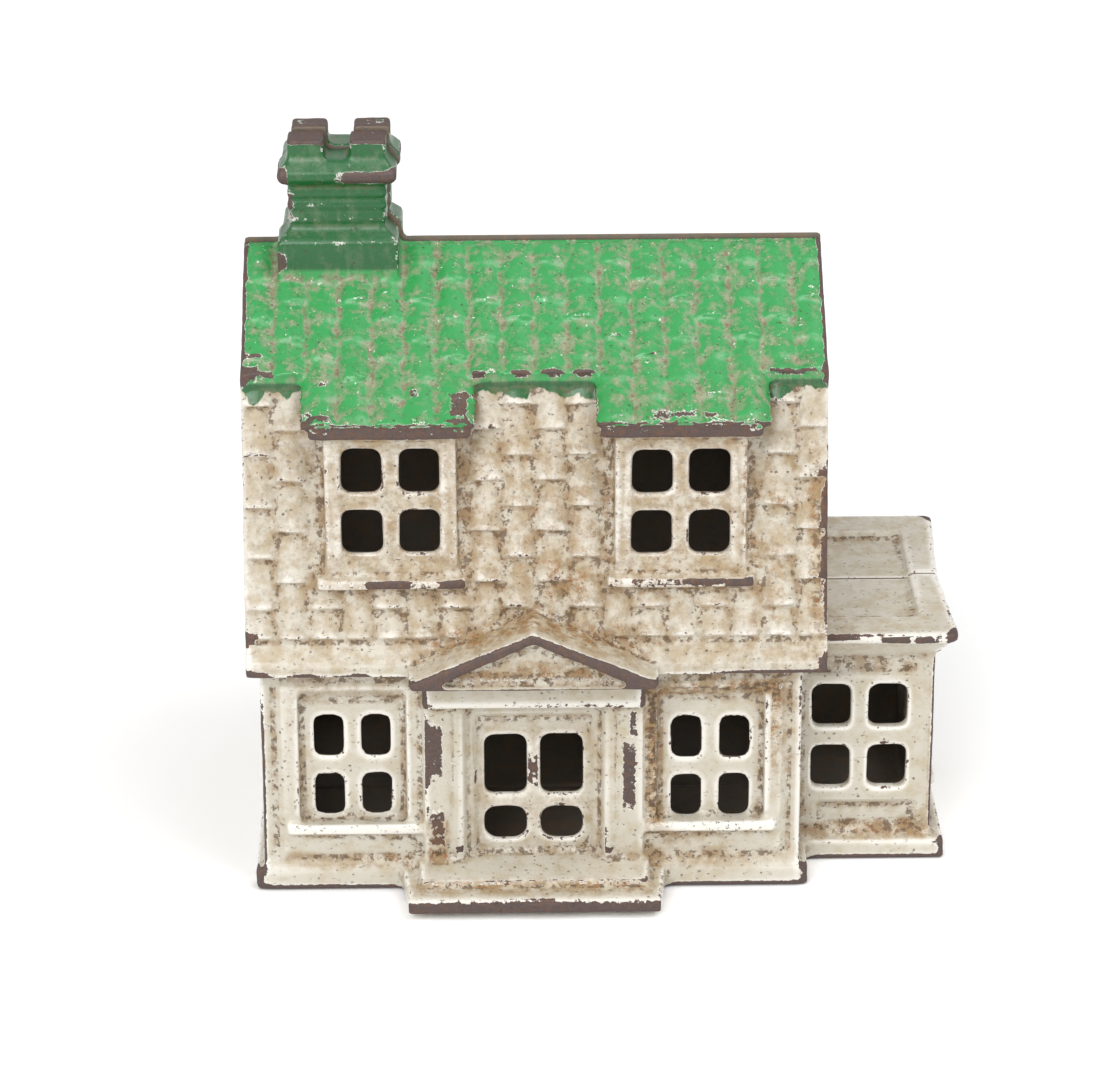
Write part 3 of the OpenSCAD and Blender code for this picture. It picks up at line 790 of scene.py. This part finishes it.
FRONT_CHIPS = BOTH_CHIPS + (
    # Cap and merlons of the chimney, then its base
    (-21.9, 6, 97.2, 3.6, 2, 0.9, 0.95), (-34.4, 5, 97.2, 0.9, 3, 1.0, 0.9),
    (-30.9, 3, 102.4, 2.4, 2.2, 0.6, 0.95), (-22.4, 3, 102.4, 2.4, 2.2, 0.6, 0.95),
    (-34.2, 6.9, 85.6, 0.7, 0.6, 1.1, 0.9), (-33.2, 5, 93.5, 0.4, 1, 0.8, 0.8),
    # Edge where the roof turns steep
    (-7.6, 20.2, 74.0, 0.9, 0.8, 0.5, 0.95), (-1.9, 20.2, 74.0, 1.0, 0.8, 0.5, 0.9),
    (2.5, 20.2, 74.0, 1.1, 0.8, 0.5, 0.9), (6.8, 20.2, 74.0, 1.1, 0.8, 0.5, 0.95),
    (-36.0, 20.2, 74.1, 0.7, 0.8, 0.5, 0.9), (34.5, 20.2, 74.0, 2.4, 0.8, 0.5, 0.8),
    # Dormer roofs
    (-10.2, 24.6, 71.0, 1.2, 2.2, 1.6, 0.85), (-29.3, 26, 70.2, 1.6, 0.9, 0.7, 0.85),
    (19.0, 26.0, 70.2, 3.0, 0.8, 0.8, 0.85), (23.4, 26, 70.2, 0.9, 0.8, 0.7, 0.8),
    (-16.3, 23.0, 72.5, 0.7, 0.7, 0.6, 0.75), (-28.5, 21.6, 73.2, 0.6, 0.6, 0.6, 0.75),
    # Dormer sills, left and right
    (-20.2, 27.4, 46.1, 2.2, 0.5, 0.65, 0.95), (-11.2, 27.4, 46.1, 1.2, 0.5, 0.65, 0.95),
    (28.2, 27.4, 45.9, 1.7, 0.5, 0.7, 1.0), (23.0, 27.4, 46.4, 2.0, 0.5, 0.3, 0.75),
    # Eave
    (-31.6, 29.4, 33.5, 1.2, 0.5, 0.45, 0.9), (-24.2, 29.4, 33.5, 1.0, 0.5, 0.45, 0.8),
    (34.0, 29.4, 33.5, 6.5, 0.5, 0.45, 0.8), (39.4, 29.2, 34.4, 1.0, 1, 1.3, 0.8),
    (-38.9, 27.4, 38.4, 0.7, 1, 0.8, 0.8), (39.2, 25.0, 51.0, 0.6, 3, 8.0, 0.7),
    # Hood edge, gable foot and frieze
    (-0.45, 34.7, 38.4, 17.6, 0.45, 5.0, 1.0), (-0.45, 33.5, 34.6, 14.0, 0.6, 0.3, 0.85),
    (-15.6, 30.2, 30.0, 0.4, 1, 1.6, 0.6), (14.7, 30.2, 30.0, 0.4, 1, 1.6, 0.55),
    # Pilasters, jambs and door
    (-14.0, 28.6, 21.5, 1.1, 0.6, 4.6, 0.92), (-13.7, 28.6, 9.5, 1.1, 0.6, 3.4, 0.84),
    (12.7, 28.6, 17.5, 1.0, 0.6, 5.6, 0.92), (13.2, 28.6, 25.5, 0.6, 0.6, 2.4, 0.84),
    (-0.6, 26.9, 17.0, 0.6, 0.5, 1.6, 0.85), (-10.8, 28.2, 6.2, 0.7, 0.9, 0.6, 0.85),
    (10.0, 28.2, 6.0, 0.7, 0.9, 0.6, 0.8), (-8.4, 27, 17.0, 0.3, 0.6, 2.0, 0.7),
    # Steps
    (-0.45, 37.5, 1.2, 17.8, 0.5, 1.05, 1.0), (-9.0, 33.7, 3.9, 6.0, 0.4, 0.3, 0.86),
    (10.0, 33.7, 3.9, 5.0, 0.4, 0.3, 0.86), (15.6, 33.0, 4.4, 0.5, 0.6, 0.5, 0.8),
    # Porch roof
    (49.8, 21.2, 34.3, 1.4, 0.5, 0.5, 0.9), (53.8, 21.2, 34.2, 1.0, 0.5, 0.5, 0.9),
    (43.0, 21.2, 34.8, 0.5, 0.5, 0.3, 0.8), (48.8, 18.4, 17.9, 0.8, 0.4, 0.5, 0.6),
)
BOTH_GRIME = (
    (0, 24, 55.0, 40.0, 7, 15.0, 0.5), (49.0, 10, 35.0, 9.0, 11, 1.2, 0.12),
    (-25.4, 27.5, 4.4, 8.5, 1.2, 0.9, 0.65), (24.0, 27.5, 4.4, 8.5, 1.2, 0.9, 0.6),
    (48.0, 19.0, 3.9, 8.0, 1.2, 0.8, 0.8), (48.0, 18, 29.5, 6.5, 2, 1.5, 0.35),
    (-28.0, 24, 50, 3.0, 5, 12, 0.35), (38.6, 24, 50.0, 1.5, 8, 12.0, 1.0),
)
FRONT_GRIME = BOTH_GRIME + (
    (0, 25, 50.0, 8.0, 8, 12.0, 0.5), (-0.45, 29.4, 41.5, 14.5, 1.8, 4.5, 0.95),
    (31.5, 27, 45.0, 3.0, 5, 9.0, 0.55), (-33.0, 28.6, 36.0, 5.0, 2, 1.8, 0.45),
    (28.0, 28.6, 36.0, 12.0, 2, 1.8, 0.45), (-25.4, 26.5, 30.2, 6.5, 1.2, 1.0, 0.6),
    (24.0, 26.5, 30.2, 6.5, 1.2, 1.0, 0.7), (-0.45, 33.4, 35.4, 10.0, 1.0, 0.5, 1.0),
    (-0.45, 33.9, 3.4, 15.5, 0.9, 0.6, 0.9), (-0.45, 35.8, 3.2, 15.0, 1.4, 0.5, 0.4),
    (-0.45, 26.6, 16.0, 8.0, 0.8, 9.0, 0.3), (16.3, 27.5, 18.0, 1.0, 1.5, 9.0, 1.0),
    (16.6, 28.0, 27.5, 1.4, 1.5, 3.0, 1.5), (16.4, 28.0, 12.0, 1.0, 1.5, 2.2, 1.4),
    (20.5, 28.0, 6.5, 3.0, 1.5, 1.0, 1.3), (31.0, 27.0, 30.4, 3.2, 1.0, 1.0, 1.2),
    (28.8, 26.5, 64.0, 0.8, 1.0, 3.0, 1.2), (34.5, 25.5, 62.0, 3.0, 2.0, 6.0, 0.9),
    (-13.7, 28.6, 7.6, 1.2, 0.8, 3.0, 1.2), (4.0, 27.5, 47.0, 3.0, 2.0, 4.0, 0.9),
    (-4.0, 27.0, 56.0, 3.0, 2.0, 4.0, 0.9), (49.0, 19.0, 4.2, 5.0, 1.2, 0.8, 1.3),
    (20.2, 28.2, 46.4, 9.0, 1.0, 0.8, 1.0), (24.5, 26.3, 66.5, 5.0, 0.6, 0.8, 0.7),
    (29.0, 26.0, 57.0, 0.8, 0.8, 9.0, 0.7), (24.0, 27.5, 31.8, 8.0, 1, 0.6, 0.5),
)
BACK_CHIPS = BOTH_CHIPS + (
    (16, 0.5, 87.0, 24.0, 0.9, 0.4, 1.0), (-38, 0.5, 87.0, 1.6, 0.9, 0.4, 1.0),
    (0, 10.1, 80.1, 17.0, 2.4, 1.6, 0.5), (0, 25.6, 48.0, 5.4, 1.4, 5.4, 0.6),
    (-22.0, 5, 97.4, 4.0, 3, 1.0, 0.8), (-26.2, 2.5, 102.5, 6.5, 2.2, 0.7, 0.95),
    (30.0, 29.3, 33.6, 7.0, 0.6, 0.6, 0.8), (-20.0, 27.4, 46.0, 8.0, 0.5, 0.6, 0.72),
    (14.0, 27.4, 46.0, 3.0, 0.5, 0.6, 0.85), (0, 27.0, 14.0, 4.0, 0.6, 6.0, 0.45),
    (-2.0, 29.3, 33.6, 4.0, 0.6, 0.6, 0.8), (0, 20.2, 74.1, 7.0, 0.8, 0.5, 0.75),
)
BACK_GRIME = BOTH_GRIME + (
    (0, 26, 45.0, 9.0, 8, 9.0, 0.5), (0, 26.8, 31.0, 28.0, 1.6, 1.6, 0.5),
    (0, 26.8, 14.0, 6.0, 1.0, 9.0, 0.3), (0, 10.1, 80.0, 18.0, 4, 3.0, 0.35),
)


def build_casting(context, node, name, body, facing, chips, grime):
    """One finished half: the casting's own walls with tiles added, run into one skin."""
    shape = context.scene.house_bank_shape
    paint = context.scene.house_bank_paint
    grain = shape.grain * 1.0
    piece = copy_node(node, name)
    cast(piece, grain, shape.softness)
    join(piece, lay_tiles(shape, facing))
    cast(piece, grain, 2)
    measure_relief(piece, grain)
    mark_zones(piece, "chip", chips, facing)
    thin_out(piece, shape.triangles, "chip")
    mark_zones(piece, "grime", grime, facing)
    make_wavy(piece, shape.waviness)
    mark_inside(piece, shape, facing)
    smooth_faces(piece)
    piece.data.materials.clear()
    piece.data.materials.append(painted_iron(f"{name}_paint", shape, paint))
    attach(piece, body)
    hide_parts(node)
    return piece


class HOUSEBANK_OT_front_casting(bpy.types.Operator):
    """Makes the front half with its entry, porch and tiled slopes"""

    bl_idname = "house_bank.front_casting"
    bl_label = "Front Casting"

    def execute(self, context):
        build_casting(
            context, "front_casting", "front_half", "front", -1,
            FRONT_CHIPS, FRONT_GRIME,
        )
        return {"FINISHED"}


class HOUSEBANK_OT_back_casting(bpy.types.Operator):
    """Makes the rear half with its coin slot and the seat of the screw"""

    bl_idname = "house_bank.back_casting"
    bl_label = "Back Casting"

    def execute(self, context):
        build_casting(
            context, "back_casting", "back_half", "back", 1,
            BACK_CHIPS, BACK_GRIME,
        )
        return {"FINISHED"}


# The screw's shank as cast in the model, and its thread: how deep it is cut, how far the ridge
# is sunk into the core and kept below the shank, and the half height of the ridge as a share of
# the pitch
SHANK_RADIUS = 2.4 * MM
THREAD_DEPTH = 0.42 * MM
THREAD_ROOT = 0.15 * MM
THREAD_GAP = 0.03 * MM
THREAD_SHARE = 0.46
THREAD_STEPS = 24


class HOUSEBANK_OT_assembly_screw(bpy.types.Operator):
    """Makes the long slotted screw with its thread"""

    bl_idname = "house_bank.assembly_screw"
    bl_label = "Assembly Screw"

    def execute(self, context):
        shape = context.scene.house_bank_shape
        paint = context.scene.house_bank_paint
        piece = copy_node("assembly_screw", "screw_with_thread")
        core = SHANK_RADIUS - THREAD_DEPTH
        thread_length = shape.thread_length
        tip_y = SCREW_LOW[1]
        # The CAD shank is cut off where the thread starts, and a thinner core takes its place
        bpy.ops.object.mode_set(mode="EDIT")
        bpy.ops.mesh.select_all(action="SELECT")
        bpy.ops.mesh.bisect(
            plane_co=(0, tip_y + thread_length, 0), plane_no=(0, 1, 0),
            use_fill=True, clear_inner=True,
        )
        bpy.ops.object.mode_set(mode="OBJECT")
        bpy.ops.object.select_all(action="DESELECT")
        bpy.ops.mesh.primitive_cylinder_add(
            vertices=64, radius=core, depth=thread_length + MM, rotation=(math.pi / 2, 0, 0),
            location=(HOUSE_X, tip_y + (thread_length + MM) / 2, SCREW_Z),
        )
        shank = bpy.context.object
        bake_place(shank)
        bpy.ops.object.mode_set(mode="EDIT")
        select_where(shank, "FACE", lambda place, normal: normal.y < -0.9)
        bpy.ops.mesh.bevel(offset=0.5 * MM, segments=3)
        bpy.ops.object.mode_set(mode="OBJECT")
        ridge = self.make_ridge(core, SHANK_RADIUS, shape.thread_pitch, thread_length - 1.5 * MM)
        ridge.data.transform(Matrix.Translation((HOUSE_X, tip_y + 0.8 * MM, SCREW_Z)))
        join(piece, [shank, ridge])
        grain = 0.13 * MM
        cast(piece, grain, 1)
        measure_relief(piece, grain * 2)
        thin_out(piece, shape.triangles // 3, None)
        smooth_faces(piece)
        piece.data.materials.clear()
        piece.data.materials.append(old_steel("screw_steel_finish", paint))
        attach(piece, "screw")
        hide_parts("assembly_screw")
        return {"FINISHED"}

    def make_ridge(self, core, radius, pitch, length):
        """The helical ridge of the thread, along +Y from the origin."""
        turns = int(length / pitch)
        bpy.ops.object.select_all(action="DESELECT")
        # A triangle of unit radius in the XZ plane, with one corner towards the screw's axis
        bpy.ops.mesh.primitive_circle_add(
            vertices=3, radius=1.0, fill_type="NGON", rotation=(math.pi / 2, -math.pi / 2, 0),
        )
        ridge = bpy.context.object
        bake_place(ridge)
        root, crest = core - THREAD_ROOT, radius - THREAD_GAP
        width, half_height = 1.5, math.sin(math.pi / 3)
        bpy.ops.object.mode_set(mode="EDIT")
        bpy.ops.mesh.select_all(action="SELECT")
        bpy.ops.transform.resize(
            value=((crest - root) / width, 1.0, pitch * THREAD_SHARE / half_height),
            center_override=(0, 0, 0),
        )
        bpy.ops.transform.translate(value=(root + (crest - root) * 2 / 3, 0, 0))
        bpy.ops.object.mode_set(mode="OBJECT")
        apply_modifier(
            ridge, "SCREW", axis="Z", angle=2 * math.pi, screw_offset=pitch, iterations=turns,
            steps=THREAD_STEPS, render_steps=THREAD_STEPS, use_normal_calculate=True,
        )
        bpy.ops.object.mode_set(mode="EDIT")
        bpy.ops.mesh.select_all(action="SELECT")
        bpy.ops.mesh.normals_make_consistent(inside=False)
        bpy.ops.object.mode_set(mode="OBJECT")
        ridge.data.transform(Matrix.Rotation(-math.pi / 2, 4, "X"))
        return ridge


# The height that both lamps point at, over the origin
LAMP_AIM_Z = 0.05


class HOUSEBANK_OT_stage(bpy.types.Operator):
    """Makes the table, the lamps and the camera"""

    bl_idname = "house_bank.stage"
    bl_label = "Stage"

    def execute(self, context):
        stage = context.scene.house_bank_stage
        bpy.ops.object.select_all(action="DESELECT")
        bpy.ops.mesh.primitive_plane_add(size=6.0, location=(0, 0, -0.0001))
        table = context.object
        table.name = "table"
        bpy.ops.object.mode_set(mode="EDIT")
        bpy.ops.mesh.subdivide(number_cuts=3)
        bpy.ops.object.mode_set(mode="OBJECT")
        s = Shader("plain_table")
        table.data.materials.append(s.finish(Base_Color=(*stage.table, 1.0), Roughness=0.9))
        self.lamp(context, "key_lamp", (-0.42, -0.92, 0.88), 0.7, stage.key)
        self.lamp(context, "fill_lamp", (0.55, -0.36, 1.25), 0.8, stage.fill)
        world = bpy.data.worlds.new("even_light")
        context.scene.world = world
        world.use_nodes = True
        background = world.node_tree.nodes["Background"]
        background.inputs["Color"].default_value = (1, 1, 1, 1)
        background.inputs["Strength"].default_value = stage.sky
        context.scene.view_settings.view_transform = "Standard"
        self.camera(context, stage)
        return {"FINISHED"}

    def lamp(self, context, name, place, size, power):
        bpy.ops.object.light_add(type="AREA", location=place)
        lamp = context.object
        lamp.name = name
        lamp.data.size = size
        lamp.data.energy = power
        towards = Vector((0, 0, LAMP_AIM_Z)) - Vector(place)
        lamp.rotation_euler = towards.to_track_quat("-Z", "Y").to_euler()

    def camera(self, context, stage):
        aim = Vector((HOUSE_X, JOINT_Y, stage.aim_z))
        back = Vector((
            math.sin(stage.azimuth) * math.cos(stage.elevation),
            -math.cos(stage.azimuth) * math.cos(stage.elevation),
            math.sin(stage.elevation),
        ))
        bpy.ops.object.camera_add(location=aim + back * stage.distance)
        camera = context.object
        camera.name = "camera"
        turn = (-back).to_track_quat("-Z", "Y").to_matrix() @ Matrix.Rotation(stage.roll, 3, "Z")
        camera.rotation_euler = turn.to_euler()
        camera.data.lens = stage.focal
        camera.data.sensor_width = 36.0
        camera.data.shift_x = stage.shift_x
        camera.data.shift_y = stage.shift_y
        context.scene.camera = camera


class HOUSEBANK_PT_panel(bpy.types.Panel):
    """Lists the bank's sizes, colours and pieces"""

    bl_idname = "HOUSEBANK_PT_panel"
    bl_label = "House Bank"
    bl_space_type = "VIEW_3D"
    bl_region_type = "UI"
    bl_category = "House Bank"

    def draw(self, context):
        for group in ("house_bank_shape", "house_bank_paint", "house_bank_stage"):
            settings = getattr(context.scene, group)
            column = self.layout.column(align=True)
            for key in settings.__annotations__:
                column.prop(settings, key)
        for operator in OPERATORS:
            self.layout.operator(operator.bl_idname)


GROUPS = {
    "house_bank_shape": HouseBankShape,
    "house_bank_paint": HouseBankPaint,
    "house_bank_stage": HouseBankStage,
}
OPERATORS = (
    HOUSEBANK_OT_front_casting,
    HOUSEBANK_OT_back_casting,
    HOUSEBANK_OT_assembly_screw,
    HOUSEBANK_OT_stage,
)


def register():
    for name, group in GROUPS.items():
        bpy.utils.register_class(group)
        setattr(bpy.types.Scene, name, bpy.props.PointerProperty(type=group))
    for operator in OPERATORS:
        bpy.utils.register_class(operator)
    bpy.utils.register_class(HOUSEBANK_PT_panel)


def unregister():
    bpy.utils.unregister_class(HOUSEBANK_PT_panel)
    for operator in reversed(OPERATORS):
        bpy.utils.unregister_class(operator)
    for name, group in GROUPS.items():
        delattr(bpy.types.Scene, name)
        bpy.utils.unregister_class(group)


def main():
    register()
    bpy.ops.house_bank.front_casting()
    bpy.ops.house_bank.back_casting()
    bpy.ops.house_bank.assembly_screw()
    bpy.ops.house_bank.stage()


if __name__ == "__main__":
    main()
